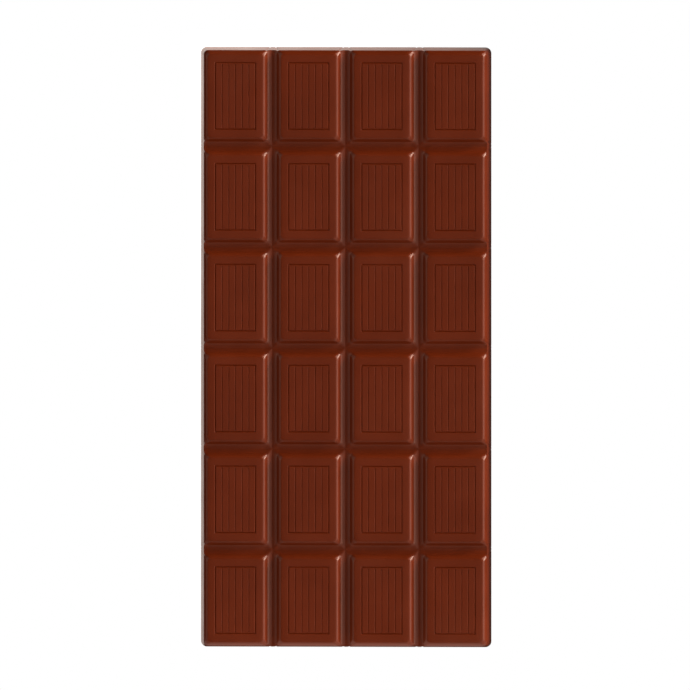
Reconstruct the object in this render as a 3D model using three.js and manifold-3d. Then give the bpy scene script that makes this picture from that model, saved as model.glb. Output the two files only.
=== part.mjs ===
// A moulded chocolate bar, scored into blocks that snap off.
//
// Millimetres, +Z up. X runs across the bar and Y along it. The bar lies on its flat poured
// back at Z = 0 with the blocks up, and the origin is at the middle of the back.
//
// The relief is that of the mould: ribs run straight across and straight along it, so the bar is
// what two ribbed slabs have in common. Each block is a low pad with steep sides, which stands on
// gentle flanks that fall to the grooves. Its face has a thin engraved frame with upright lines
// inside it.

import * as THREE from "three";
import { mergeVertices } from "three/addons/utils/BufferGeometryUtils.js";
import Module from "manifold-3d";

// ---- Driving dimensions ----

const BAR_WIDTH = 77.5;
const BAR_LENGTH = 160.2;
const BAR_THICKNESS = 7;
const OUTLINE_RADIUS = 1.6;
const TOP_CORNER_RADIUS = 1.2;

const COLUMNS = 4;
const ROWS = 6;
const COLUMN_PITCH = 19.54;
const ROW_PITCH = 26.94;

/** From a groove's middle to where the steep side beside it, drawn on, would meet the face. */
const GROOVE_HALF_WIDTH = 1.95;
const SIDE_HEIGHT = 1.2;
const SIDE_SLOPE = THREE.MathUtils.degToRad(61);
const FLANK_SLOPE = THREE.MathUtils.degToRad(22);
const BLOCK_EDGE_RADIUS = 1;
const GROOVE_BOTTOM_RADIUS = 0.6;

const FRAME_WIDTH = 10.7;
const FRAME_LENGTH = 17.75;
const FRAME_CUT = { width: 0.44, depth: 0.23 };

const LINE_COUNT = 5;
const LINE_LENGTH = 17.1;
const LINE_CUT = { width: 0.32, depth: 0.16 };

const EDGE_STEPS = 6;
const GROOVE_BOTTOM_STEPS = 3;
const CORNER_STEPS = 6;

/** How far a cutting or a meeting shape runs past the surface it has to clear. */
const CLEARANCE = 2;

const CHOCOLATE = { color: 0x5f2616, roughness: 0.38, metalness: 0 };

// ---- Derived sizes ----

/** How far a steep side runs out from the face to its foot. */
const SIDE_RUN = SIDE_HEIGHT / Math.tan(SIDE_SLOPE);

/** The foot of the sides, where the flanks begin, and at the bar's outline its steeper walls. */
const FOOT_HEIGHT = BAR_THICKNESS - SIDE_HEIGHT;
const FLANK_RUN = GROOVE_HALF_WIDTH - SIDE_RUN;

/** How far each face edge is from the middle of the bar, across it and along it. */
const FACE_EDGE_X = (COLUMNS * COLUMN_PITCH) / 2 - GROOVE_HALF_WIDTH;
const FACE_EDGE_Y = (ROWS * ROW_PITCH) / 2 - GROOVE_HALF_WIDTH;

/** The frame's long sides and the lines between them are evenly spaced. */
const LINE_PITCH = FRAME_WIDTH / (LINE_COUNT + 1);

// ---- Helpers ----

/** Where number `index` of `count` evenly pitched things lies, the row being centred on zero. */
function place(index, count, pitch) {
  return (index - (count - 1) / 2) * pitch;
}

/** Points on a rounded edge. Angles are measured from straight up, towards +X. */
function edgeArc(centreX, centreY, radius, from, to, steps) {
  const points = [];
  for (let step = 0; step <= steps; step += 1) {
    const angle = from + ((to - from) * step) / steps;
    points.push(new THREE.Vector2(centreX + radius * Math.sin(angle), centreY + radius * Math.cos(angle)));
  }
  return points;
}

/** A closed three.js geometry as a solid that can be joined and cut. */
function toSolid(wasm, geometry) {
  const bare = geometry.clone();
  bare.deleteAttribute("normal");
  bare.deleteAttribute("uv");
  const merged = mergeVertices(bare, 1e-4);
  return new wasm.Manifold(
    new wasm.Mesh({
      numProp: 3,
      vertProperties: new Float32Array(merged.attributes.position.array),
      triVerts: new Uint32Array(merged.index.array),
    }),
  );
}

/** A finished solid as a three.js geometry. */
function toGeometry(solid) {
  const mesh = solid.getMesh();
  const geometry = new THREE.BufferGeometry();
  geometry.setAttribute("position", new THREE.BufferAttribute(mesh.vertProperties, 3));
  geometry.setIndex(new THREE.BufferAttribute(mesh.triVerts, 1));
  geometry.computeVertexNormals();
  return geometry;
}

// ---- The bar's body ----

/** One groove in a section: down a block's side and flank, round the bottom, and up again. */
function grooveOutline(middle) {
  const edgeCentreX = GROOVE_HALF_WIDTH + BLOCK_EDGE_RADIUS * Math.tan(SIDE_SLOPE / 2);
  const edgeCentreY = BAR_THICKNESS - BLOCK_EDGE_RADIUS;
  const flanksMeetY = FOOT_HEIGHT - FLANK_RUN * Math.tan(FLANK_SLOPE);
  const bottomCentreY = flanksMeetY + GROOVE_BOTTOM_RADIUS / Math.cos(FLANK_SLOPE);
  return [
    ...edgeArc(middle - edgeCentreX, edgeCentreY, BLOCK_EDGE_RADIUS, 0, SIDE_SLOPE, EDGE_STEPS),
    new THREE.Vector2(middle - FLANK_RUN, FOOT_HEIGHT),
    ...edgeArc(
      middle,
      bottomCentreY,
      GROOVE_BOTTOM_RADIUS,
      Math.PI + FLANK_SLOPE,
      Math.PI - FLANK_SLOPE,
      GROOVE_BOTTOM_STEPS,
    ),
    new THREE.Vector2(middle + FLANK_RUN, FOOT_HEIGHT),
    ...edgeArc(middle + edgeCentreX, edgeCentreY, BLOCK_EDGE_RADIUS, -SIDE_SLOPE, 0, EDGE_STEPS),
  ];
}

/**
 * A section through the bar: the flat back, the two walls with the sloping sides above them, and
 * the blocks' faces with the grooves between them. The outermost blocks' faces end so far in from
 * the walls that they are as wide as the others.
 */
function blockSection(size, faceEdge, count, pitch) {
  const sideFoot = faceEdge + SIDE_RUN;
  const edgeCentreX = faceEdge - BLOCK_EDGE_RADIUS * Math.tan(SIDE_SLOPE / 2);
  const edgeCentreY = BAR_THICKNESS - BLOCK_EDGE_RADIUS;

  const outline = [new THREE.Vector2(-size / 2, 0), new THREE.Vector2(-sideFoot, FOOT_HEIGHT)];
  outline.push(...edgeArc(-edgeCentreX, edgeCentreY, BLOCK_EDGE_RADIUS, -SIDE_SLOPE, 0, EDGE_STEPS));
  for (let groove = 0; groove < count - 1; groove += 1) {
    outline.push(...grooveOutline(place(groove, count - 1, pitch)));
  }
  outline.push(...edgeArc(edgeCentreX, edgeCentreY, BLOCK_EDGE_RADIUS, 0, SIDE_SLOPE, EDGE_STEPS));
  outline.push(new THREE.Vector2(sideFoot, FOOT_HEIGHT), new THREE.Vector2(size / 2, 0));
  return new THREE.Shape(outline);
}

/** The section across the bar, drawn out along it. */
function lengthwiseSlab() {
  const run = BAR_LENGTH + 2 * CLEARANCE;
  const section = blockSection(BAR_WIDTH, FACE_EDGE_X, COLUMNS, COLUMN_PITCH);
  const slab = new THREE.ExtrudeGeometry(section, { depth: run, bevelEnabled: false });
  return slab.rotateX(Math.PI / 2).translate(0, run / 2, 0);
}

/** The section along the bar, drawn out across it. */
function crosswiseSlab() {
  const run = BAR_WIDTH + 2 * CLEARANCE;
  const section = blockSection(BAR_LENGTH, FACE_EDGE_Y, ROWS, ROW_PITCH);
  const slab = new THREE.ExtrudeGeometry(section, { depth: run, bevelEnabled: false });
  return slab.rotateX(Math.PI / 2).rotateZ(Math.PI / 2).translate(-run / 2, 0, 0);
}

/**
 * A block with the bar's rounded outline, which gives the four upright corners. It is drawn with
 * straight walls in two storeys, whose foot, middle and top are then set to the walls and the
 * sides above them. The corners narrow from the outline's radius to that of the faces.
 */
function cornerBlock() {
  const halfWidth = BAR_WIDTH / 2;
  const halfLength = BAR_LENGTH / 2;
  const centreX = halfWidth - OUTLINE_RADIUS;
  const centreY = halfLength - OUTLINE_RADIUS;

  const outline = new THREE.Shape();
  outline.absarc(centreX, centreY, OUTLINE_RADIUS, 0, Math.PI / 2);
  outline.absarc(-centreX, centreY, OUTLINE_RADIUS, Math.PI / 2, Math.PI);
  outline.absarc(-centreX, -centreY, OUTLINE_RADIUS, Math.PI, Math.PI * 1.5);
  outline.absarc(centreX, -centreY, OUTLINE_RADIUS, Math.PI * 1.5, Math.PI * 2);
  const block = new THREE.ExtrudeGeometry(outline, {
    depth: 2,
    steps: 2,
    bevelEnabled: false,
    curveSegments: CORNER_STEPS,
  });

  const levels = [
    { z: 0, edgeX: halfWidth, edgeY: halfLength, radius: OUTLINE_RADIUS },
    {
      z: FOOT_HEIGHT,
      edgeX: FACE_EDGE_X + SIDE_RUN,
      edgeY: FACE_EDGE_Y + SIDE_RUN,
      radius: TOP_CORNER_RADIUS,
    },
    { z: BAR_THICKNESS, edgeX: FACE_EDGE_X, edgeY: FACE_EDGE_Y, radius: TOP_CORNER_RADIUS },
  ];
  const corners = block.attributes.position;
  for (let i = 0; i < corners.count; i += 1) {
    const { z, edgeX, edgeY, radius } = levels[Math.round(corners.getZ(i))];
    const sideX = Math.sign(corners.getX(i));
    const sideY = Math.sign(corners.getY(i));
    const outX = (corners.getX(i) - sideX * centreX) * (radius / OUTLINE_RADIUS);
    const outY = (corners.getY(i) - sideY * centreY) * (radius / OUTLINE_RADIUS);
    corners.setXYZ(i, sideX * (edgeX - radius) + outX, sideY * (edgeY - radius) + outY, z);
  }
  return block;
}

// ---- The engraving on a block's face ----

/** A V-shaped cutter for one engraved line, pointing down, its broad side above the face. */
function lineCutter() {
  const { width, depth } = LINE_CUT;
  const overRun = depth + CLEARANCE;
  const halfTop = (width / 2) * (overRun / depth);
  const wedge = new THREE.Shape([
    new THREE.Vector2(0, -depth),
    new THREE.Vector2(halfTop, CLEARANCE),
    new THREE.Vector2(-halfTop, CLEARANCE),
  ]);
  const cutter = new THREE.ExtrudeGeometry(wedge, { depth: LINE_LENGTH, bevelEnabled: false });
  return cutter.rotateX(Math.PI / 2).translate(0, LINE_LENGTH / 2, 0);
}

/**
 * A V-shaped cutter for the engraved frame: a ring turned with four corners, whose corners are
 * then moved out to those of the frame's rectangle.
 */
function frameCutter() {
  const { width, depth } = FRAME_CUT;
  const halfTop = (width / 2) * ((depth + CLEARANCE) / depth);
  const ringReach = FRAME_WIDTH / 2;
  const section = [
    new THREE.Vector2(ringReach, -depth),
    new THREE.Vector2(ringReach + halfTop, CLEARANCE),
    new THREE.Vector2(ringReach - halfTop, CLEARANCE),
    new THREE.Vector2(ringReach, -depth),
  ].map((point) => new THREE.Vector2(point.x * Math.SQRT2, point.y));
  const ring = new THREE.LatheGeometry(section, 4, Math.PI / 4).rotateX(Math.PI / 2);

  const corners = ring.attributes.position;
  const stretch = (FRAME_LENGTH - FRAME_WIDTH) / 2;
  for (let i = 0; i < corners.count; i += 1) {
    corners.setY(i, corners.getY(i) + Math.sign(corners.getY(i)) * stretch);
  }
  return ring;
}

/** The frame and its lines, as one cutter centred on a block's face. */
function engravingCutter(wasm) {
  let cutter = toSolid(wasm, frameCutter());
  for (let line = 0; line < LINE_COUNT; line += 1) {
    const x = place(line, LINE_COUNT, LINE_PITCH);
    cutter = cutter.add(toSolid(wasm, lineCutter().translate(x, 0, 0)));
  }
  return cutter;
}

// ---- Making the bar ----

function makeBar(wasm) {
  let bar = toSolid(wasm, lengthwiseSlab());
  bar = bar.intersect(toSolid(wasm, crosswiseSlab()));
  bar = bar.intersect(toSolid(wasm, cornerBlock()));
  const engraving = engravingCutter(wasm);
  for (let row = 0; row < ROWS; row += 1) {
    for (let column = 0; column < COLUMNS; column += 1) {
      const x = place(column, COLUMNS, COLUMN_PITCH);
      const y = place(row, ROWS, ROW_PITCH);
      bar = bar.subtract(engraving.translate([x, y, BAR_THICKNESS]));
    }
  }
  return toGeometry(bar);
}

const wasm = await Module();
wasm.setup();

const chocolateBar = new THREE.Mesh(makeBar(wasm), new THREE.MeshStandardMaterial(CHOCOLATE));
chocolateBar.name = "chocolate_bar";

const part = new THREE.Group();
part.add(chocolateBar);

export default part;
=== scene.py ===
# %% [markdown]
# A moulded chocolate bar.
#
# This lesson dresses a bar of milk chocolate whose solid, with its real sizes, already exists.
# The bar is poured into a mould, so everything on it is one surface: blocks with rounded edges,
# grooves to snap it along, and an engraved frame with fine lines on each block. First the
# solid is loaded, and its box is kept, as the outline, the thickness and the camera's aim come from it.

# %% Load the solid
import math

import bmesh
import bpy
from mathutils import Matrix, Vector, noise


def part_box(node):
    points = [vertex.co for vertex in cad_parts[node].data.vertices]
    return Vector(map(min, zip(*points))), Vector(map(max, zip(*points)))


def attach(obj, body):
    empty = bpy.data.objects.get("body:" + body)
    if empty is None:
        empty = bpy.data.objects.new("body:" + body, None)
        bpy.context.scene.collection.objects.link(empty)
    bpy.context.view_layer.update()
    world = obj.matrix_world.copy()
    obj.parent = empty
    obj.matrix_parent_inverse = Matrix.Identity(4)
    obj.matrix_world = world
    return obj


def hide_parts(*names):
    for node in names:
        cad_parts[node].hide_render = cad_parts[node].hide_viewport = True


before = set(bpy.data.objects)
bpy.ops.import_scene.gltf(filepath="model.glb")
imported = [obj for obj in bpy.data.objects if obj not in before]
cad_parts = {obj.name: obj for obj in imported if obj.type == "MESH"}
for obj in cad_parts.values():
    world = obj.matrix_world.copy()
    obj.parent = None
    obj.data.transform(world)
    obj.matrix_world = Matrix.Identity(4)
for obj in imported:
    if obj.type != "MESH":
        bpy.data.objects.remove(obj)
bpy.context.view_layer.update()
low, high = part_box("chocolate_bar")
print("solid, in mm:", [round(side * 1000, 1) for side in high - low])

# %% [markdown]
# The camera looks almost straight down on the bar, from so far away that every block looks the
# same, so it is an orthographic one. It leans a little to the right and to the far end, which
# shows slightly more of the slopes on those sides. Its turn is built from three directions,
# so that the bar's length stays upright in the render. The last two values set the bar a hair
# off the middle of the frame, to the right and down.

# %% Camera
VIEW_WIDTH = 0.184
LEAN_RIGHT = math.radians(2.4)
LEAN_FAR = math.radians(3.3)
CAMERA_DISTANCE = 1.0
MOVE_RIGHT, MOVE_DOWN = 0.00018, 0.0007

camera = bpy.data.objects.new("camera", bpy.data.cameras.new("camera"))
camera.data.type = "ORTHO"
camera.data.ortho_scale = VIEW_WIDTH
backward = Vector((math.tan(LEAN_RIGHT), math.tan(LEAN_FAR), 1)).normalized()
rightward = Vector((0, 1, 0)).cross(backward).normalized()
upward = backward.cross(rightward)
camera.rotation_euler = Matrix((rightward, upward, backward)).transposed().to_euler()
target = (low + high) / 2 - rightward * MOVE_RIGHT + upward * MOVE_DOWN
camera.location = target + backward * CAMERA_DISTANCE
bpy.context.scene.collection.objects.link(camera)
bpy.context.scene.camera = camera
print("camera at", [round(value, 3) for value in camera.location])

# %% [markdown]
# Two small helpers come next. Colours are picked as sRGB hex values, but nodes want linear
# ones, so one function turns them. The other adds a node to any tree with its settings and
# its inputs, where an input is a number, a socket, or a node whose first output is meant. A Mix
# node keeps sockets for every type of value, so those for colours are found by their order.

# %% Helpers: colours and nodes
FIRST_COLOUR, SECOND_COLOUR, MIXED_COLOUR = 6, 7, 2


def linear(hex_colour):
    """An sRGB hex colour as linear RGBA."""
    channels = [int(hex_colour[i : i + 2], 16) / 255 for i in (1, 3, 5)]
    return [c / 12.92 if c <= 0.04045 else ((c + 0.055) / 1.055) ** 2.4 for c in channels] + [1]


def add_node(tree, kind, inputs=(), **settings):
    """A new node of that kind. Inputs go by their order, or by name if they are a dictionary."""
    node = tree.nodes.new(kind)
    for name, value in settings.items():
        setattr(node, name, value)
    for key, value in inputs.items() if isinstance(inputs, dict) else enumerate(inputs):
        if isinstance(value, bpy.types.Node):
            value = value.outputs[0]
        if isinstance(value, bpy.types.NodeSocket):
            tree.links.new(value, node.inputs[key])
        else:
            node.inputs[key].default_value = value
    return node


print("mid grey, #808080, is", round(linear("#808080")[0], 3), "in linear light")

# %% [markdown]
# The sizes of the relief are those of the solid, in metres, and the outline and thickness come
# from its box. Each block is a low pad with steep sides, which stand on gentle flanks that fall
# to the grooves. On the bar's outside a steep wall takes the flank's place, down to a low rim.
# The slopes are angles, as a mould maker cuts them, and how far each one runs is worked out.

# %% Sizes: blocks, grooves and walls
COLUMNS, ROWS = 4, 6
COLUMN_PITCH, ROW_PITCH = 0.01954, 0.02694
HALF_WIDTH, HALF_LENGTH, THICKNESS = high.x, high.y, high.z
OUTLINE_RADIUS, TOP_CORNER_RADIUS = 0.0016, 0.0012
GROOVE_HALF_WIDTH, GROOVE_DEPTH = 0.00195, 0.00165
SIDE_HEIGHT, RIM_HEIGHT = 0.0012, 0.00025
SIDE_SLOPE, FLANK_SLOPE = math.radians(61), math.radians(22)

SIDE_RUN = SIDE_HEIGHT / math.tan(SIDE_SLOPE)
WALL_RUN_ACROSS = HALF_WIDTH - COLUMNS * COLUMN_PITCH / 2 + GROOVE_HALF_WIDTH
WALL_RUN_ALONG = HALF_LENGTH - ROWS * ROW_PITCH / 2 + GROOVE_HALF_WIDTH
wall_runs_mm = [round(run * 1000, 2) for run in (WALL_RUN_ACROSS, WALL_RUN_ALONG)]
print("from an outer face's edge to the wall's foot, in mm:", wall_runs_mm)

# %% [markdown]
# The engraving is what fine ridges in the mould leave: a thin frame with upright lines inside
# it, all of them V cuts. The lines stand as far from each other as from the frame.

# %% Sizes: the engraving
LINES = 5
FRAME_WIDTH, FRAME_LENGTH = 0.0107, 0.01775
FRAME_CUT_WIDTH, FRAME_CUT_DEPTH = 0.00044, 0.00023
LINE_PITCH = FRAME_WIDTH / (LINES + 1)
LINE_LENGTH, LINE_END = 0.0171, 0.00005
LINE_CUT_WIDTH, LINE_CUT_DEPTH = 0.00032, 0.00016
print("the lines stand", round(LINE_PITCH * 1000, 2), "mm apart")

# %% [markdown]
# Nothing on a bar is quite sharp, apart from the engraved cuts. Each softness says how far one
# slope is blended into the next: over a face's edge, at the foot of its side, in the bottom of
# a groove, and at the top of an outer wall. A face isn't quite flat either. It rolls off a
# little towards its edges, because the mould is polished by hand, and it has a very low wave.

# %% Sizes: how the surface bends
EDGE_SOFTNESS, FOOT_SOFTNESS = 0.0014, 0.0004
BOTTOM_SOFTNESS, WALL_SOFTNESS = 0.0006, 0.0001
ROLL_OFF, ROLL_OFF_REACH = 0.00008, 0.0024
WAVINESS, WAVE_LENGTH, WAVE_SEED = 0.00001, 0.012, 4
CRISP_ANGLE = math.radians(24)
print("a face rolls off by", round(ROLL_OFF * 1000, 2), "mm over its last", ROLL_OFF_REACH * 1000, "mm")

# %% [markdown]
# Geometry Nodes will press the relief. Such a tree takes its sizes through named inputs, so that
# the modifier's panel shows them. One dictionary gives each input its value: the tree is built
# with its names, and the modifier is later filled with its values.

# %% Sizes: by their names
relief_sizes = {
    "Columns": COLUMNS, "Rows": ROWS, "Column Pitch": COLUMN_PITCH, "Row Pitch": ROW_PITCH,
    "Thickness": THICKNESS, "Height": THICKNESS - RIM_HEIGHT,
    "Wall Run Across": WALL_RUN_ACROSS, "Wall Run Along": WALL_RUN_ALONG,
    "Outline Radius": OUTLINE_RADIUS, "Top Corner Radius": TOP_CORNER_RADIUS,
    "Groove Half Width": GROOVE_HALF_WIDTH, "Groove Depth": GROOVE_DEPTH,
    "Side Height": SIDE_HEIGHT, "Side Slope": SIDE_SLOPE, "Flank Slope": FLANK_SLOPE,
    "Edge Softness": EDGE_SOFTNESS, "Foot Softness": FOOT_SOFTNESS,
    "Bottom Softness": BOTTOM_SOFTNESS, "Wall Softness": WALL_SOFTNESS,
    "Roll Off": ROLL_OFF, "Roll Off Reach": ROLL_OFF_REACH,
    "Frame Width": FRAME_WIDTH, "Frame Length": FRAME_LENGTH,
    "Frame Cut Width": FRAME_CUT_WIDTH, "Frame Cut Depth": FRAME_CUT_DEPTH,
    "Line Pitch": LINE_PITCH, "Line Length": LINE_LENGTH, "Line End": LINE_END,
    "Line Cut Width": LINE_CUT_WIDTH, "Line Cut Depth": LINE_CUT_DEPTH,
    "Waviness": WAVINESS, "Wave Length": WAVE_LENGTH, "Wave Seed": WAVE_SEED,
    "Crisp Angle": CRISP_ANGLE,
}
print("the relief has", len(relief_sizes), "sizes")

# %% [markdown]
# The relief is pressed into a flat blank by a rule. A rule can only move points that are
# there, so the blank is a grid whose lines stand close where the surface bends: over the
# rounded edges, at the foot of the steep sides, in the grooves and across each engraved
# cut. Between them the lines stand wide, which keeps the mesh light. All places here are
# measured outwards from the edge of a face, apart from those of the cuts.

# %% Lines over an edge, a groove, a wall and a cut
EDGE_BEND_START, EDGE_BEND_END = -0.0007, 0.00045
FOOT_BEND_END, BOTTOM_BEND_START = 0.00085, 0.0016
WALL_BEND = WALL_SOFTNESS / 5


def spread(start, end, steps):
    """Evenly spaced places from start to end, both included."""
    return [start + (end - start) * step / steps for step in range(steps + 1)]


def wall_lines(run):
    """Places down an outer side and the wall below it."""
    side = spread(EDGE_BEND_END, SIDE_RUN - WALL_BEND, 2)
    return side + [SIDE_RUN] + spread(SIDE_RUN + WALL_BEND, run, 3)


def cut_lines(middle, width):
    """Places across one engraved cut: its two shoulders and its bottom."""
    return [middle - width / 2, middle, middle + width / 2]


edge_lines = spread(-ROLL_OFF_REACH, EDGE_BEND_START, 4) + spread(EDGE_BEND_START, EDGE_BEND_END, 7)
groove_lines = spread(EDGE_BEND_END, FOOT_BEND_END, 3) + spread(FOOT_BEND_END, BOTTOM_BEND_START, 2)
groove_lines += spread(BOTTOM_BEND_START, GROOVE_HALF_WIDTH, 3)
print(len(edge_lines), "places over an edge and", len(groove_lines), "down to a groove's middle")

# %% [markdown]
# Every block has the same places, so one function repeats them along a row of blocks. The outer
# sides of the first and the last block get a wall's places instead of a groove's. Across the
# bar the middle line has a place in each block's middle, and along it one is added, because the
# blank's diagonals change direction there. Places that agree to a tenth of a micrometre are
# taken as one, which keeps slivers out of the mesh.

# %% Where the blank's lines lie
DECIMALS = 7


def blank_lines(count, pitch, wall_run, face_cuts):
    """All places across the bar, from one outer wall's foot to the other's."""
    places = []
    edge = pitch / 2 - GROOVE_HALF_WIDTH
    for block in range(count):
        middle = (block - (count - 1) / 2) * pitch
        places += [middle + cut for cut in face_cuts]
        for side, is_outer in ((-1, block == 0), (1, block == count - 1)):
            below = wall_lines(wall_run) if is_outer else groove_lines
            places += [middle + side * (edge + out) for out in edge_lines + below]
    return sorted({round(place, DECIMALS) for place in places})


cuts_across, cuts_along = [], [0]
for side in (-1, 1):
    cuts_across += cut_lines(side * FRAME_WIDTH / 2, FRAME_CUT_WIDTH)
    cuts_along += cut_lines(side * FRAME_LENGTH / 2, FRAME_CUT_WIDTH)
    cuts_along += [side * (LINE_LENGTH / 2 - inset) for inset in (0, LINE_END)]
for line in range(LINES):
    cuts_across += cut_lines((line - (LINES - 1) / 2) * LINE_PITCH, LINE_CUT_WIDTH)
lines_across = blank_lines(COLUMNS, COLUMN_PITCH, WALL_RUN_ACROSS, cuts_across)
lines_along = blank_lines(ROWS, ROW_PITCH, WALL_RUN_ALONG, cuts_along)
print(len(lines_across), "lines across and", len(lines_along), "along")

# %% [markdown]
# The blank has a point wherever two lines cross, and two triangles in each cell of the grid.
# Every cell is split along the diagonal that runs from its block's middle towards the block's
# corner, so the mitres, where two slopes meet, follow edges of the mesh and come out clean.

# %% The flat blank
def in_first_half(place, count, pitch):
    """Whether a place is before the middle of its block."""
    return (place / pitch + count / 2) % 1 < 0.5


line_width = len(lines_across)
points = [(x, y, 0) for y in lines_along for x in lines_across]
faces = []
for row, y in enumerate(lines_along[:-1]):
    for column, x in enumerate(lines_across[:-1]):
        near, far = row * line_width + column, (row + 1) * line_width + column
        if in_first_half(x, COLUMNS, COLUMN_PITCH) == in_first_half(y, ROWS, ROW_PITCH):
            faces += [(near, near + 1, far + 1), (near, far + 1, far)]
        else:
            faces += [(near, near + 1, far), (near + 1, far + 1, far)]
blank = bpy.data.meshes.new("moulded_bar")
blank.from_pydata(points, [], faces)
print("the blank has", len(faces), "triangles")

# %% [markdown]
# The mould is the same in both directions, so one direction is a node group, which the tree
# uses twice. Both are made by a helper that gives a tree its named inputs and outputs. The
# group takes a place on one axis, and hands back what the corners, the engraving and the depth
# need to know about it.

# %% One direction of the mould: its inputs and outputs
MATH = "ShaderNodeMath"


def new_tree(name, inputs, outputs):
    """An empty Geometry Nodes tree with its named sockets, and its two end nodes."""
    tree = bpy.data.node_groups.new(name, "GeometryNodeTree")
    for side, sockets in (("INPUT", inputs), ("OUTPUT", outputs)):
        for socket, kind in sockets.items():
            tree.interface.new_socket(socket, in_out=side, socket_type="NodeSocket" + kind)
    return tree, tree.nodes.new("NodeGroupInput").outputs, tree.nodes.new("NodeGroupOutput")


shared_sizes = (
    "Height", "Groove Half Width", "Groove Depth", "Side Height", "Side Slope", "Flank Slope",
    "Edge Softness", "Foot Softness", "Bottom Softness", "Wall Softness", "Roll Off", "Roll Off Reach",
)
section, size, result = new_tree(
    "one direction of the mould",
    {name: "Float" for name in ("Place", "Count", "Pitch", "Wall Run") + shared_sizes},
    {name: "Float" for name in ("From Middle", "Past Edge", "At Wall", "Depth", "Roll Off")},
)
print("one direction has", len(size) - 1, "inputs")

# %% [markdown]
# Wrap folds every place into its own block, as the counts are even and a groove runs through the
# bar's middle, where places start. From there it is one step to how far a point lies past the
# edge of its block's face. The depth follows from that: down the steep side, then along the
# flank to the groove's bottom. Smooth Maximum and Smooth Minimum round one slope into the next.
# Under the face the flank's line would rise through it, so it is held at half the side's height.

# %% One direction of the mould: face, side and groove
half_pitch = add_node(section, MATH, [size["Pitch"], 0.5], operation="MULTIPLY")
in_block = add_node(section, MATH, [size["Place"], size["Pitch"], 0], operation="WRAP")
from_middle = add_node(section, MATH, [in_block, half_pitch], operation="SUBTRACT")
out = add_node(section, MATH, [from_middle], operation="ABSOLUTE")
face_half = add_node(section, MATH, [half_pitch, size["Groove Half Width"]], operation="SUBTRACT")
past_edge = add_node(section, MATH, [out, face_half], operation="SUBTRACT")

steepness = add_node(section, MATH, [size["Side Slope"]], operation="TANGENT")
side = add_node(section, MATH, [past_edge, steepness], operation="MULTIPLY")
round_side = add_node(section, MATH, [side, 0, size["Edge Softness"]], operation="SMOOTH_MAX")
side_run = add_node(section, MATH, [size["Side Height"], steepness], operation="DIVIDE")
past_foot = add_node(section, MATH, [past_edge, side_run], operation="SUBTRACT")
gentleness = add_node(section, MATH, [size["Flank Slope"]], operation="TANGENT")
flank = add_node(section, MATH, [past_foot, gentleness, size["Side Height"]], operation="MULTIPLY_ADD")
half_side = add_node(section, MATH, [size["Side Height"], 0.5], operation="MULTIPLY")
low_flank = add_node(section, MATH, [flank, half_side], operation="MAXIMUM")
block = add_node(section, MATH, [round_side, low_flank, size["Foot Softness"]], operation="SMOOTH_MIN")
bottom = [block, size["Groove Depth"], size["Bottom Softness"]]
groove = add_node(section, MATH, bottom, operation="SMOOTH_MIN")
print("face, side and groove take", len(section.nodes), "nodes")

# %% [markdown]
# Beyond the middle of the first or last block a point is at an outer wall. There the depth goes
# on from the side's foot down the wall, whose steepness follows from its run and its height.

# %% One direction of the mould: outer wall
wall_run = add_node(section, MATH, [size["Wall Run"], side_run], operation="SUBTRACT")
wall_height = add_node(section, MATH, [size["Height"], size["Side Height"]], operation="SUBTRACT")
wall_steepness = add_node(section, MATH, [wall_height, wall_run], operation="DIVIDE")
wall = add_node(section, MATH, [past_foot, wall_steepness, size["Side Height"]], operation="MULTIPLY_ADD")
round_wall = add_node(section, MATH, [wall, round_side, size["Wall Softness"]], operation="SMOOTH_MAX")
gaps = add_node(section, MATH, [size["Count"], 1], operation="SUBTRACT")
last_middle = add_node(section, MATH, [gaps, half_pitch], operation="MULTIPLY")
from_centre = add_node(section, MATH, [size["Place"]], operation="ABSOLUTE")
at_wall = add_node(section, MATH, [from_centre, last_middle], operation="GREATER_THAN")
depth = add_node(section, "GeometryNodeSwitch", [at_wall, groove, round_wall], input_type="FLOAT")
print("with the wall they are", len(section.nodes), "nodes")

# %% [markdown]
# The roll-off of the face starts at nothing and grows with the square of the way to the edge,
# which gives a face a soft shine instead of a mirror's. It is the last thing that one direction
# has to know, so the outputs are linked here too.

# %% One direction of the mould: roll-off
reached = add_node(section, MATH, [past_edge, size["Roll Off Reach"]], operation="DIVIDE")
near_edge = add_node(section, MATH, [reached, 1], operation="ADD", use_clamp=True)
curved = add_node(section, MATH, [near_edge, 2], operation="POWER")
roll_off = add_node(section, MATH, [curved, size["Roll Off"]], operation="MULTIPLY")
for name, node in (
    ("From Middle", from_middle), ("Past Edge", past_edge), ("At Wall", at_wall),
    ("Depth", depth), ("Roll Off", roll_off),
):
    section.links.new(node.outputs[0], result.inputs[name])
print("one direction takes", len(section.nodes), "nodes")

# %% [markdown]
# The relief uses that group across the bar and along it. Where a groove along the bar meets
# one across it, the deeper of the two wins, which leaves a clean mitre, as in a real mould.

# %% The relief: blocks and grooves
relief, size, result = new_tree(
    "relief of the bar",
    {"Blank": "Geometry", **{name: "Float" for name in relief_sizes}, "Chocolate": "Material"},
    {"Bar": "Geometry"},
)
position = add_node(relief, "GeometryNodeInputPosition")
place = add_node(relief, "ShaderNodeSeparateXYZ", [position]).outputs
directions = []
for axis, count, pitch, run in (
    ("X", "Columns", "Column Pitch", "Wall Run Across"),
    ("Y", "Rows", "Row Pitch", "Wall Run Along"),
):
    values = {"Place": place[axis], "Count": size[count], "Pitch": size[pitch], "Wall Run": size[run]}
    values |= {name: size[name] for name in shared_sizes}
    directions.append(add_node(relief, "GeometryNodeGroup", values, node_tree=section).outputs)
across, along = directions
block_depth = add_node(relief, MATH, [across["Depth"], along["Depth"]], operation="MAXIMUM")
rolled = add_node(relief, MATH, [across["Roll Off"], along["Roll Off"]], operation="ADD")
print("blocks and grooves take", len(relief.nodes), "nodes")

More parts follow.
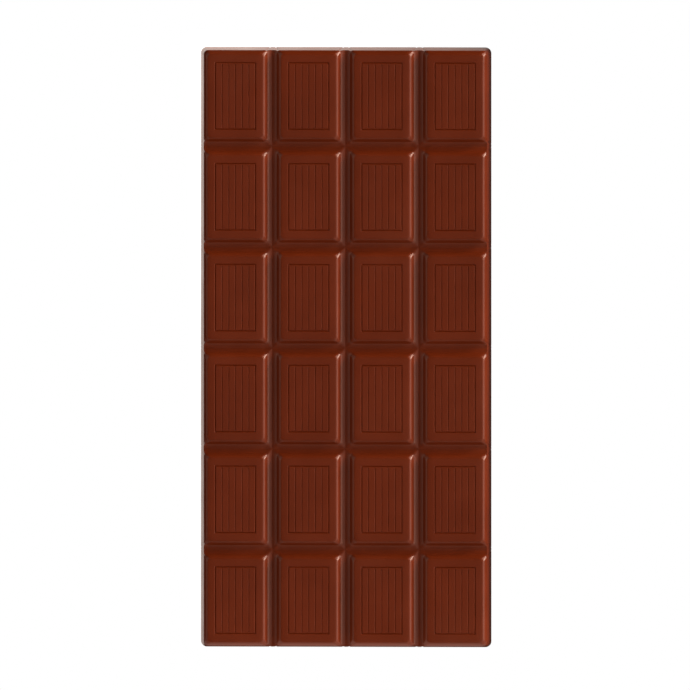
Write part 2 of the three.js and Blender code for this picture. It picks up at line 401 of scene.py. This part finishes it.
# %% [markdown]
# The engraving is worked out from how far a point is from the middle of its block. The frame
# is every point as far out as its rectangle. Map Range turns the distance from the cut's middle
# into its depth, deepest in the middle and none at the shoulders, which makes a small V.

# %% The relief: the engraved frame
out_across = add_node(relief, MATH, [across["From Middle"]], operation="ABSOLUTE")
out_along = add_node(relief, MATH, [along["From Middle"]], operation="ABSOLUTE")
half_frame_width = add_node(relief, MATH, [size["Frame Width"], 0.5], operation="MULTIPLY")
half_frame_length = add_node(relief, MATH, [size["Frame Length"], 0.5], operation="MULTIPLY")
past_side = add_node(relief, MATH, [out_across, half_frame_width], operation="SUBTRACT")
past_end = add_node(relief, MATH, [out_along, half_frame_length], operation="SUBTRACT")
past_frame = add_node(relief, MATH, [past_side, past_end], operation="MAXIMUM")
from_frame = add_node(relief, MATH, [past_frame], operation="ABSOLUTE")
frame_half_cut = add_node(relief, MATH, [size["Frame Cut Width"], 0.5], operation="MULTIPLY")
frame_v = [from_frame, 0, frame_half_cut, size["Frame Cut Depth"], 0]
frame_cut = add_node(relief, "ShaderNodeMapRange", frame_v)
print("with the frame they are", len(relief.nodes), "nodes")

# %% [markdown]
# The lines repeat at an even pitch, so Ping-Pong folds the distance from the middle into the
# distance from the nearest line, however many there are. They are kept inside the frame, and
# each one ends in a steep little ramp just before it.

# %% The relief: the engraved lines
half_line_pitch = add_node(relief, MATH, [size["Line Pitch"], 0.5], operation="MULTIPLY")
from_line = add_node(relief, MATH, [out_across, half_line_pitch], operation="PINGPONG")
line_half_cut = add_node(relief, MATH, [size["Line Cut Width"], 0.5], operation="MULTIPLY")
line_v = [from_line, 0, line_half_cut, size["Line Cut Depth"], 0]
line_cut = add_node(relief, "ShaderNodeMapRange", line_v)
half_line = add_node(relief, MATH, [size["Line Length"], 0.5], operation="MULTIPLY")
line_inner = add_node(relief, MATH, [half_line, size["Line End"]], operation="SUBTRACT")
line_share = add_node(relief, "ShaderNodeMapRange", [out_along, line_inner, half_line, 1, 0])
in_frame = add_node(relief, MATH, [past_side, 0], operation="LESS_THAN")
line_here = add_node(relief, MATH, [line_share, in_frame], operation="MULTIPLY")
kept_line = add_node(relief, MATH, [line_cut, line_here], operation="MULTIPLY")
engraving = add_node(relief, MATH, [frame_cut, kept_line], operation="MAXIMUM")
print("with the lines they are", len(relief.nodes), "nodes")

# %% [markdown]
# The corners are rounded in plan. Around a block every point lies on a ring, which is a
# rectangle as far out as the point is, and whose corners will be bent into quarter circles.
# The radius is largest at the face's edge. It shrinks inwards, and it dies out in the groove,
# which makes the small bright wedges on real bars.

# %% The relief: how round a block's rings are
past_across, past_along = across["Past Edge"], along["Past Edge"]
ring = add_node(relief, MATH, [past_across, past_along], operation="MAXIMUM")
inner_radius = add_node(relief, MATH, [size["Top Corner Radius"], ring], operation="ADD")
share_out = add_node(relief, MATH, [ring, size["Groove Half Width"]], operation="DIVIDE")
share_left = add_node(relief, MATH, [1, share_out], operation="SUBTRACT")
outer_radius = add_node(relief, MATH, [size["Top Corner Radius"], share_left], operation="MULTIPLY")
block_radius = add_node(relief, MATH, [inner_radius, outer_radius], operation="MINIMUM")
print("with a block's rings they are", len(relief.nodes), "nodes")

# %% [markdown]
# At the bar's own four corners the radius doesn't die out. It grows with the share of the way
# down the wall, until it is that of the outline. The walls across and along the bar differ in
# how far they run, so that share is found for each, and the larger one counts.

# %% The relief: how round the bar's corners are
at_corner = add_node(relief, MATH, [across["At Wall"], along["At Wall"]], operation="MULTIPLY")
steepness = add_node(relief, MATH, [size["Side Slope"]], operation="TANGENT")
side_run = add_node(relief, MATH, [size["Side Height"], steepness], operation="DIVIDE")
wall_runs, shares = [], []
for past, run in ((past_across, "Wall Run Across"), (past_along, "Wall Run Along")):
    wall_run = add_node(relief, MATH, [size[run], side_run], operation="SUBTRACT")
    past_foot = add_node(relief, MATH, [past, side_run], operation="SUBTRACT")
    wall_runs.append(wall_run)
    shares.append(add_node(relief, MATH, [past_foot, wall_run], operation="DIVIDE"))
down = add_node(relief, MATH, shares, operation="MAXIMUM", use_clamp=True)
growth = add_node(relief, MATH, [size["Outline Radius"], size["Top Corner Radius"]], operation="SUBTRACT")
grown = add_node(relief, MATH, [down, growth, size["Top Corner Radius"]], operation="MULTIPLY_ADD")
wall_radius = add_node(relief, MATH, [inner_radius, grown], operation="MINIMUM")
either_radius = [at_corner, block_radius, wall_radius]
any_radius = add_node(relief, "GeometryNodeSwitch", either_radius, input_type="FLOAT")
radius = add_node(relief, MATH, [any_radius, 0], operation="MAXIMUM")
print("with the bar's corners they are", len(relief.nodes), "nodes")

# %% [markdown]
# Now each ring's corner is bent round. The arc's centre lies one radius in from both sides of
# the ring. A point beyond it both ways has an arm from that centre, longer than the radius, and
# is drawn in along the arm until it is just one radius long. On a straight side the arm already
# has that length, so nothing moves there.

# %% The relief: draw the corners in
side_ring = add_node(relief, MATH, [ring, side_run], operation="MINIMUM")
beyond = []
for past, wall_run in ((past_across, wall_runs[0]), (past_along, wall_runs[1])):
    wall_ring = add_node(relief, MATH, [down, wall_run, side_ring], operation="MULTIPLY_ADD")
    own_ring = add_node(relief, "GeometryNodeSwitch", [at_corner, ring, wall_ring], input_type="FLOAT")
    within = add_node(relief, MATH, [past, own_ring], operation="SUBTRACT")
    from_arc_centre = add_node(relief, MATH, [within, radius], operation="ADD")
    beyond.append(add_node(relief, MATH, [from_arc_centre, 0], operation="MAXIMUM"))
arm = add_node(relief, "ShaderNodeCombineXYZ", [*beyond, 0])
reach = add_node(relief, "ShaderNodeVectorMath", [arm], operation="LENGTH")
kept = add_node(relief, MATH, [radius, reach.outputs["Value"]], operation="DIVIDE")
drawn_in = add_node(relief, MATH, [1, kept], operation="SUBTRACT")
new_place = []
for axis, direction, past_centre in (("X", across, beyond[0]), ("Y", along, beyond[1])):
    way_out = add_node(relief, MATH, [direction["From Middle"]], operation="SIGN")
    move = add_node(relief, MATH, [past_centre, drawn_in], operation="MULTIPLY")
    signed = add_node(relief, MATH, [move, way_out], operation="MULTIPLY")
    new_place.append(add_node(relief, MATH, [place[axis], signed], operation="SUBTRACT"))
print("with the corners drawn in they are", len(relief.nodes), "nodes")

# %% [markdown]
# Chocolate shrinks a little as it sets, and never quite evenly, so the surface gets its very low
# wave from a noise with a fixed seed. Then all depths are added up and taken off the thickness,
# and Set Position moves the blank's points.

# %% The relief: press the blank
wave_scale = add_node(relief, MATH, [1, size["Wave Length"]], operation="DIVIDE")
wave = add_node(
    relief, "ShaderNodeTexNoise",
    {"Vector": position, "W": size["Wave Seed"], "Scale": wave_scale, "Detail": 1.0},
    noise_dimensions="4D",
)
waved = add_node(relief, MATH, [wave, size["Waviness"]], operation="MULTIPLY")
with_roll = add_node(relief, MATH, [block_depth, rolled], operation="ADD")
with_wave = add_node(relief, MATH, [with_roll, waved], operation="ADD")
with_cuts = add_node(relief, MATH, [with_wave, engraving], operation="ADD")
all_depth = add_node(relief, MATH, [with_cuts, size["Height"]], operation="MINIMUM")
top = add_node(relief, MATH, [size["Thickness"], all_depth], operation="SUBTRACT")
spot = add_node(relief, "ShaderNodeCombineXYZ", [*new_place, top])
pressed = add_node(relief, "GeometryNodeSetPosition", {"Geometry": size["Blank"], "Position": spot})
print("with the press they are", len(relief.nodes), "nodes")

# %% [markdown]
# The surface is shaded smooth, and only the edges of the engraved cuts bend by more than the
# crisp angle, so only they are shaded sharp. The tree ends by making the result real and by
# giving it its material.

# %% The relief: smooth surface, crisp cuts
smooth = add_node(relief, "GeometryNodeSetShadeSmooth", [pressed])
bend = add_node(relief, "GeometryNodeInputMeshEdgeAngle")
is_crisp = add_node(relief, MATH, [bend, size["Crisp Angle"]], operation="GREATER_THAN")
crisp = add_node(
    relief, "GeometryNodeSetShadeSmooth",
    {"Geometry": smooth, "Selection": is_crisp, "Shade Smooth": False},
    domain="EDGE",
)
real = add_node(relief, "GeometryNodeRealizeInstances", [crisp])
dressed = add_node(relief, "GeometryNodeSetMaterial", {"Geometry": real, "Material": size["Chocolate"]})
relief.links.new(dressed.outputs[0], result.inputs["Bar"])
print("the whole relief takes", len(relief.nodes), "nodes")

# %% [markdown]
# The finish is that of tempered milk chocolate. It is cocoa and milk powder, ground too fine to
# feel, in cocoa butter. Set against a polished mould it gets a satin gloss and an even warm
# brown. One flat brown would look like plastic, so a noise some 12 mm wide shifts it a little,
# as the powders never mix quite evenly. The powder's grain is 0.02 mm, too fine to show in a
# render, so it is drawn at 0.35 mm and kept faint. A noise mostly stays between 0.3 and 0.7, so
# Map Range widens that stretch to the whole of what it drives.

# %% Tempered chocolate: the brown
DARKER_BROWN, LIGHTER_BROWN = "#672A0F", "#6F2E11"
MOTTLE_SIZE, GRAIN_SIZE = 0.012, 0.00035
GRAIN_LIGHT = (0.95, 1.05)
NOISE_RANGE = (0.3, 0.7)

chocolate = bpy.data.materials.new("tempered_chocolate")
chocolate.use_nodes = True
finish = chocolate.node_tree
spot = add_node(finish, "ShaderNodeTexCoord").outputs["Object"]
mottle = add_node(finish, "ShaderNodeTexNoise", {"Vector": spot, "Scale": 1 / MOTTLE_SIZE, "Detail": 3})
mottle_share = add_node(finish, "ShaderNodeMapRange", [mottle, *NOISE_RANGE, 0, 1])
browns = {FIRST_COLOUR: linear(DARKER_BROWN), SECOND_COLOUR: linear(LIGHTER_BROWN)}
brown = add_node(finish, "ShaderNodeMix", {"Factor": mottle_share, **browns}, data_type="RGBA")
grain = add_node(finish, "ShaderNodeTexNoise", {"Vector": spot, "Scale": 1 / GRAIN_SIZE, "Detail": 2})
grain_light = add_node(finish, "ShaderNodeMapRange", [grain, *NOISE_RANGE, *GRAIN_LIGHT])
grained = add_node(
    finish, "ShaderNodeMix",
    {"Factor": 1, FIRST_COLOUR: brown.outputs[MIXED_COLOUR], SECOND_COLOUR: grain_light},
    data_type="RGBA", blend_type="MULTIPLY",
)
print("browns from", DARKER_BROWN, "to", LIGHTER_BROWN)

# %% [markdown]
# Bloom is the fat that creeps to the surface in storage. Only a trace of it greys a few patches,
# where a wide noise is high.

# %% Tempered chocolate: a trace of bloom
BLOOM_GREY = "#9A7461"
BLOOM_SIZE = 0.03
BLOOM_START, BLOOM_FULL, MOST_BLOOM = 0.55, 0.75, 0.03

bloom = add_node(finish, "ShaderNodeTexNoise", {"Vector": spot, "Scale": 1 / BLOOM_SIZE, "Detail": 4})
bloom_share = add_node(finish, "ShaderNodeMapRange", [bloom, BLOOM_START, BLOOM_FULL, 0, MOST_BLOOM])
bloomed = add_node(
    finish, "ShaderNodeMix",
    {
        "Factor": bloom_share,
        FIRST_COLOUR: grained.outputs[MIXED_COLOUR],
        SECOND_COLOUR: linear(BLOOM_GREY),
    },
    data_type="RGBA",
)
print("bloom greys a patch by up to", round(MOST_BLOOM * 100), "%")

# %% [markdown]
# The back never touched the mould. It was scraped level along the bar and set in the air, so it
# is duller and paler, with fine streaks. One mask finds it, by its height over the table, and a
# noise that is stretched along the bar draws the streaks.

# %% Tempered chocolate: the poured back
BACK_TOP, BACK_FADE = 0.0002, 0.0003
STREAK_WIDTH, STREAK_STRETCH = 0.002, 20
BACK_PALENESS = (0.06, 0.12)

height = add_node(finish, "ShaderNodeSeparateXYZ", [spot]).outputs["Z"]
on_back = add_node(finish, "ShaderNodeMapRange", [height, BACK_TOP, BACK_TOP + BACK_FADE, 1, 0])
stretched = add_node(finish, "ShaderNodeMapping", {"Vector": spot, "Scale": (1, 1 / STREAK_STRETCH, 1)})
streak_inputs = {"Vector": stretched, "Scale": 1 / STREAK_WIDTH, "Detail": 4}
streaks = add_node(finish, "ShaderNodeTexNoise", streak_inputs)
paleness = add_node(finish, "ShaderNodeMapRange", [streaks, *NOISE_RANGE, *BACK_PALENESS])
back_share = add_node(finish, MATH, [on_back, paleness], operation="MULTIPLY")
colour = add_node(
    finish, "ShaderNodeMix",
    {
        "Factor": back_share,
        FIRST_COLOUR: bloomed.outputs[MIXED_COLOUR],
        SECOND_COLOUR: linear(BLOOM_GREY),
    },
    data_type="RGBA",
)
print("streaks", STREAK_WIDTH * 1000, "mm wide on the back")

# %% [markdown]
# The gloss follows how the surface was made. Against the mould it is smooth, but the fat sets in
# patches a few millimetres wide that are a little duller or glossier, and a faint orange peel
# breaks up the gleams along the edges. The back is duller, and its streaks are scratches too.
# Cocoa butter is a fat, so the IOR is a fat's. It is the same all over, so it is set on the
# shader's own socket.

# %% Tempered chocolate: the gloss
COCOA_BUTTER_IOR = 1.46
MOULD_ROUGHNESS, BACK_ROUGHNESS = (0.29, 0.35), 0.52
PATCH_SIZE = 0.006
PEEL_SIZE, PEEL_DEPTH = 0.0025, 0.000012
STREAK_DEPTH = 0.00003

patches = add_node(finish, "ShaderNodeTexNoise", {"Vector": spot, "Scale": 1 / PATCH_SIZE, "Detail": 2})
mould_gloss = add_node(finish, "ShaderNodeMapRange", [patches, *NOISE_RANGE, *MOULD_ROUGHNESS])
roughness = add_node(finish, "ShaderNodeMix", {"Factor": on_back, "A": mould_gloss, "B": BACK_ROUGHNESS})
peel = add_node(finish, "ShaderNodeTexNoise", {"Vector": spot, "Scale": 1 / PEEL_SIZE, "Detail": 3})
scratches = add_node(finish, MATH, [streaks, on_back], operation="MULTIPLY")
peel_and_scratches = [scratches, STREAK_DEPTH / PEEL_DEPTH, peel]
fine_height = add_node(finish, MATH, peel_and_scratches, operation="MULTIPLY_ADD")
fine_relief = add_node(finish, "ShaderNodeBump", {"Distance": PEEL_DEPTH, "Height": fine_height})
shader = finish.nodes["Principled BSDF"]
shader.inputs["IOR"].default_value = COCOA_BUTTER_IOR
finish.links.new(colour.outputs[MIXED_COLOUR], shader.inputs["Base Color"])
finish.links.new(roughness.outputs[0], shader.inputs["Roughness"])
finish.links.new(fine_relief.outputs[0], shader.inputs["Normal"])
print("roughness from", MOULD_ROUGHNESS[0], "in the mould to", BACK_ROUGHNESS, "on the back")

# %% [markdown]
# Now the relief is pressed into the blank. A Geometry Nodes modifier holds the tree, and each of
# its inputs is set by the socket's identifier, with the sizes from above. Then the result is
# taken as a plain mesh and the modifier is removed, so that nothing is left to be worked out
# later.

# %% Press the relief into the blank
bar = bpy.data.objects.new("moulded_bar", blank)
bpy.context.scene.collection.objects.link(bar)
press = bar.modifiers.new("relief", "NODES")
press.node_group = relief
for socket in relief.interface.items_tree:
    if socket.name in relief_sizes:
        press[socket.identifier] = float(relief_sizes[socket.name])
    elif socket.name == "Chocolate":
        press[socket.identifier] = chocolate

evaluated = bar.evaluated_get(bpy.context.evaluated_depsgraph_get())
pressed_mesh = bpy.data.meshes.new_from_object(evaluated)
bar.modifiers.remove(press)
bar.data = pressed_mesh
lowest = min(point.co.z for point in pressed_mesh.vertices)
print(len(pressed_mesh.vertices), "points, the lowest at", round(lowest * 1000, 3), "mm")

# %% [markdown]
# Below the walls the bar has a small rounded rim, where the chocolate met the air. The pressed
# mesh is open there, so its boundary is extruded ring by ring, each one drawn from the last. A
# ring of the rim is given by how far it lies in from the outline, and by its height.

# %% The rounded rim
RIM_RINGS = ((0.00003, 0.00014), (0.0001, 0.00006), (0.00022, 0.00001), (0.0004, 0))

work = bmesh.new()
work.from_mesh(pressed_mesh)
loop = [edge for edge in work.edges if edge.is_boundary]


def draw_ring(loop, share_x, share_y):
    """Extrudes a closed loop of edges towards the middle, and returns the new loop and its points."""
    made = bmesh.ops.extrude_edge_only(work, edges=loop)["geom"]
    ring_points = [item for item in made if isinstance(item, bmesh.types.BMVert)]
    for point in ring_points:
        point.co.x *= 1 - share_x
        point.co.y *= 1 - share_y
    new_loop = [item for item in made if isinstance(item, bmesh.types.BMEdge) and item.is_boundary]
    return new_loop, ring_points


inset = 0
for next_inset, ring_height in RIM_RINGS:
    step = next_inset - inset
    loop, ring_points = draw_ring(loop, step / (HALF_WIDTH - inset), step / (HALF_LENGTH - inset))
    for point in ring_points:
        point.co.z = ring_height
    inset = next_inset
print("the rim is", len(RIM_RINGS), "rings of", len(loop), "edges")

# %% [markdown]
# The back of a moulded bar is its poured side. It was scraped level while soft, and it keeps a
# faint unevenness of less than a tenth of a millimetre. More rings carry it inwards to a point in
# the middle. It starts level at the rim, on which the bar rests, and is at its full unevenness a
# sixth of the way in.

# %% The poured back
BACK_RINGS = 9
BACK_UNEVENNESS, BACK_WAVE = 0.00008, 0.018
BACK_RISE = 6


def back_height(spot, share_in):
    """How far the back lies above the table at a spot, none of it at the rim."""
    bump = 0.5 + 0.5 * noise.noise(Vector((spot.x, spot.y, 0)) / BACK_WAVE)
    return BACK_UNEVENNESS * bump * min(1, share_in * BACK_RISE)


for ring_number in range(BACK_RINGS):
    shrink = 1 / (BACK_RINGS - ring_number)
    loop, ring_points = draw_ring(loop, shrink, shrink)
    for point in ring_points:
        point.co.z = back_height(point.co, (ring_number + 1) / BACK_RINGS)
print("the middle of the back lies", round(ring_points[0].co.z * 1000, 3), "mm over the table")

# %% [markdown]
# The last ring has shrunk to nothing, so its points are merged into one, which closes the bar.
# Then all faces are turned to point outwards and shaded smooth, and the count of open edges
# shows that the surface is whole.

# %% Close the bar
back_middle = (0, 0, ring_points[0].co.z)
bmesh.ops.pointmerge(work, verts=ring_points, merge_co=back_middle)
bmesh.ops.recalc_face_normals(work, faces=work.faces)
for face in work.faces:
    face.smooth = True
print("the bar has", sum(edge.is_boundary for edge in work.edges), "open edges")

# %% [markdown]
# Extruding makes its points and faces in no fixed order, so the same shape would be written in
# another order on every run. The points are therefore sorted by their places, and the edges and
# faces by the numbers of their points. Then the finished bar goes back into its mesh.

# %% Put the bar in a fixed order
def put_in_order(elements, key):
    """Sorts a mesh's points, edges or faces, and numbers them in that order."""
    for number, element in enumerate(sorted(elements, key=key)):
        element.index = number
    elements.sort()


def point_numbers(element):
    """The numbers of the points of an edge or a face, the lowest first."""
    return sorted(point.index for point in element.verts)


put_in_order(work.verts, lambda point: point.co[:])
put_in_order(work.edges, point_numbers)
put_in_order(work.faces, point_numbers)
triangles = sum(len(face.verts) - 2 for face in work.faces)
work.to_mesh(pressed_mesh)
work.free()
print("the bar has", len(pressed_mesh.vertices), "points and", triangles, "triangles")

# %% [markdown]
# The floor is a sheet of white paper, far wider than the bar. It is lit so evenly that it shows
# no shading, so it glows instead of being lit. How strongly it glows for the bar is painted light
# and painted shade, set by the spot, so its tree begins with the two axes of the floor.

# %% Floor: the paper
FLOOR_SIZE = 6

bpy.ops.mesh.primitive_plane_add(size=FLOOR_SIZE)
floor = bpy.context.object
floor.name = "floor"
paper = bpy.data.materials.new("white_paper")
paper.use_nodes = True
sheet = paper.node_tree
sheet.nodes.clear()
spot_on_floor = add_node(sheet, "ShaderNodeTexCoord").outputs["Object"]
floor_axes = add_node(sheet, "ShaderNodeSeparateXYZ", [spot_on_floor]).outputs
floor.data.materials.append(paper)
print("the paper is", floor.dimensions.x, "m wide")

# %% [markdown]
# What the bar gets from the paper matters only close to it: the steep walls mirror a strip a few
# millimetres wide. That strip's glow is painted light and painted shade: bright at the far end and
# on the left, and dimming to the right. Each change of painted light is a Map Range over one axis,
# and they are multiplied. Those at a foot lie under the bar's edge, so no step shows.

# %% Floor: the painted light that the walls mirror
STRIP, STRIP_FADE = 0.0028, 0.0035
FOOT_STEP = 0.001
LEFT_LIGHT = 1.05
FAR_LIGHT, FAR_FOOT_LIGHT = 1.45, 1.25
RIGHT_LIGHT, RIGHT_FOOT_LIGHT = 0.35, 0.15

# Painted light and painted shade: how brightly the paper glows for the walls, by where it is.
painted_wall_light = 1
for axis, start, end, from_light, to_light in (
    ("X", -HALF_WIDTH - STRIP - STRIP_FADE, -HALF_WIDTH - STRIP, 0, LEFT_LIGHT),
    ("Y", HALF_LENGTH + STRIP + STRIP_FADE, HALF_LENGTH + STRIP, 0, 1),
    ("Y", 0, HALF_LENGTH, 1, FAR_LIGHT),
    ("Y", HALF_LENGTH - FOOT_STEP, HALF_LENGTH, 1, FAR_FOOT_LIGHT),
    ("X", -HALF_WIDTH, HALF_WIDTH, 1, RIGHT_LIGHT),
    ("X", HALF_WIDTH - FOOT_STEP, HALF_WIDTH, 1, RIGHT_FOOT_LIGHT),
):
    light = add_node(sheet, "ShaderNodeMapRange", [floor_axes[axis], start, end, from_light, to_light])
    painted_wall_light = add_node(sheet, MATH, [painted_wall_light, light], operation="MULTIPLY")
print("the walls mirror a strip", round(STRIP * 1000, 1), "mm wide, which then fades out")

# %% [markdown]
# At the near end the paper's glow holds a painted shadow, so it is dark right beside the bar and
# brightens further out. Paper that shines on the chocolate is a little warmer than the white that
# the camera sees: that warmth is painted bounce light from the chocolate.

# %% Floor: the painted shadow at the near end, and the white that the camera sees
NEAR_BRIGHT_DISTANCE, NEAR_BRIGHT = 0.0070, 0.9
NEAR_DARK_DISTANCE, NEAR_DARK = 0.0024, 0.02
PAINTED_BOUNCE_WHITE, PAPER_WHITE = "#FFF0E6", "#FFFFFF"

# A painted shadow on the paper in front of the near end: dark beside the bar, brighter further out.
near_bright, near_dark = -HALF_LENGTH - NEAR_BRIGHT_DISTANCE, -HALF_LENGTH - NEAR_DARK_DISTANCE
near_range = [floor_axes["Y"], near_bright, near_dark, NEAR_BRIGHT, NEAR_DARK]
painted_near_shadow = add_node(sheet, "ShaderNodeMapRange", near_range)
is_near = add_node(sheet, MATH, [floor_axes["Y"], -HALF_LENGTH], operation="LESS_THAN")
painted_wall_light = add_node(sheet, "ShaderNodeMix", {"Factor": is_near, "A": painted_wall_light, "B": painted_near_shadow})
seen = add_node(sheet, "ShaderNodeLightPath").outputs["Is Camera Ray"]
strength = add_node(sheet, MATH, [painted_wall_light, seen], operation="MAXIMUM")
# The warmer white is painted bounce light from the chocolate; the camera sees plain white.
whites = {FIRST_COLOUR: linear(PAINTED_BOUNCE_WHITE), SECOND_COLOUR: linear(PAPER_WHITE)}
tint = add_node(sheet, "ShaderNodeMix", {"Factor": seen, **whites}, data_type="RGBA")
glow = add_node(
    sheet, "ShaderNodeEmission", {"Color": tint.outputs[MIXED_COLOUR], "Strength": strength}
)
add_node(sheet, "ShaderNodeOutputMaterial", {"Surface": glow})
print("the paper's light takes", len(sheet.nodes), "nodes")

# %% [markdown]
# In a studio the light close to a small thing is shaped with strips of card. A card is one
# upright face. The white one glows as brightly as warm light makes it, which needs no lamp of
# its own, and the black one not at all. They are there for what they do to the light, so the
# camera doesn't see them.

# %% Helper: a card
CARD_GLOWS = {"white": (linear("#FFE2D2"), 1.0), "black": (linear("#000000"), 0)}


def stand_card(colour, start, end, height):
    """A card of that colour, which stands on the line between two spots on the floor."""
    mesh = bpy.data.meshes.new(colour + "_card")
    corners = [(*start, 0), (*end, 0), (*end, height), (*start, height)]
    mesh.from_pydata(corners, [], [(0, 1, 2, 3)])
    card = bpy.data.objects.new(colour + "_card", mesh)
    bpy.context.scene.collection.objects.link(card)
    paint = bpy.data.materials.new(colour + "_card")
    paint.use_nodes = True
    paint.node_tree.nodes.clear()
    glow = add_node(paint.node_tree, "ShaderNodeEmission", CARD_GLOWS[colour])
    add_node(paint.node_tree, "ShaderNodeOutputMaterial", {"Surface": glow})
    mesh.materials.append(paint)
    card.visible_camera = False
    return card


print("cards in", " and ".join(CARD_GLOWS))

# %% [markdown]
# The white card stands in front of the near end, and brightens the rounded edge and the wall
# that face it. The black one stands at the right, and shades the foot of the wall there. Both
# are low, so the blocks hide them from the grooves. The white one casts no shadow, and the black
# one does nothing else.

# %% Cards
WHITE_CARD_DISTANCE, WHITE_CARD_HEIGHT = 0.008, 0.015
BLACK_CARD_DISTANCE, BLACK_CARD_HEIGHT, BLACK_CARD_SPARE = 0.006, 0.0046, 0.01

near_y = -HALF_LENGTH - WHITE_CARD_DISTANCE
white_card = stand_card("white", (-HALF_WIDTH, near_y), (HALF_WIDTH, near_y), WHITE_CARD_HEIGHT)
white_card.visible_shadow = False
right_x, far_y = HALF_WIDTH + BLACK_CARD_DISTANCE, HALF_LENGTH + BLACK_CARD_SPARE
black_card = stand_card("black", (right_x, -HALF_LENGTH), (right_x, far_y), BLACK_CARD_HEIGHT)
black_card.visible_diffuse = black_card.visible_glossy = False
print("cards", round(WHITE_CARD_HEIGHT * 1000), "and", round(BLACK_CARD_HEIGHT * 1000, 1), "mm high")

# %% [markdown]
# The room is white to the camera, as the paper is, but sheds almost no light on the bar: grooves
# only look deep when light comes from a few sides and not from everywhere. The view transform is
# Standard, which keeps white paper pure white.

# %% Room
ROOM_LIGHT = 0.02

world = bpy.data.worlds.new("studio")
bpy.context.scene.world = world
world.use_nodes = True
room = world.node_tree
seen = add_node(room, "ShaderNodeLightPath").outputs["Is Camera Ray"]
room_colour = add_node(room, "ShaderNodeMapRange", [seen, 0, 1, ROOM_LIGHT, 1.0])
room.links.new(room_colour.outputs[0], room.nodes["Background"].inputs["Color"])
bpy.context.scene.view_settings.view_transform = "Standard"
print("the room lights the bar with", ROOM_LIGHT, "of its white")

# %% [markdown]
# The light is that of a small studio. A warm key stands low at the right, and makes the pale
# gleams along the rounded edges. Weaker and softer lights all around keep the grooves from going
# black. Each is a sun as wide as a softbox looks from the table, so it is soft, yet it lights
# every block alike. Its strength is worked out from that width and from how bright the softbox
# is.

# %% Softboxes
WARM_WHITE = linear("#FFD7C2")[:3]
SOFTBOXES = {
    # name: turn from +X, height over the table and width in degrees, and brightness
    "key": (30, 10, 24, 28.0),
    "right_fill": (0, 28, 50, 2.58),
    "near_right_fill": (330, 55, 50, 0.51),
    "near_fill": (300, 28, 50, 0.86),
    "near_left_fill": (240, 28, 50, 0.58),
    "left_fill": (180, 28, 50, 0.62),
    "far_left_fill": (150, 28, 50, 0.74),
    "top_fill": (0, 80, 40, 0.19),
}
for name, (*angles, brightness) in SOFTBOXES.items():
    turn, height, width = (math.radians(angle) for angle in angles)
    softbox = bpy.data.objects.new(name, bpy.data.lights.new(name, "SUN"))
    softbox.data.color = WARM_WHITE
    softbox.data.angle = width
    softbox.data.energy = brightness * math.pi * math.sin(width / 2) ** 2
    sideways = math.cos(height)
    towards = Vector((math.cos(turn) * sideways, math.sin(turn) * sideways, math.sin(height)))
    softbox.rotation_euler = towards.to_track_quat("Z", "Y").to_euler()
    bpy.context.scene.collection.objects.link(softbox)
print(len(SOFTBOXES), "softboxes, the key", SOFTBOXES["key"][1], "degrees over the table")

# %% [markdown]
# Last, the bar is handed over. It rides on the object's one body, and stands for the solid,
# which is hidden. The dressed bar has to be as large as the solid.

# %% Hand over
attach(bar, "root")
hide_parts("chocolate_bar")
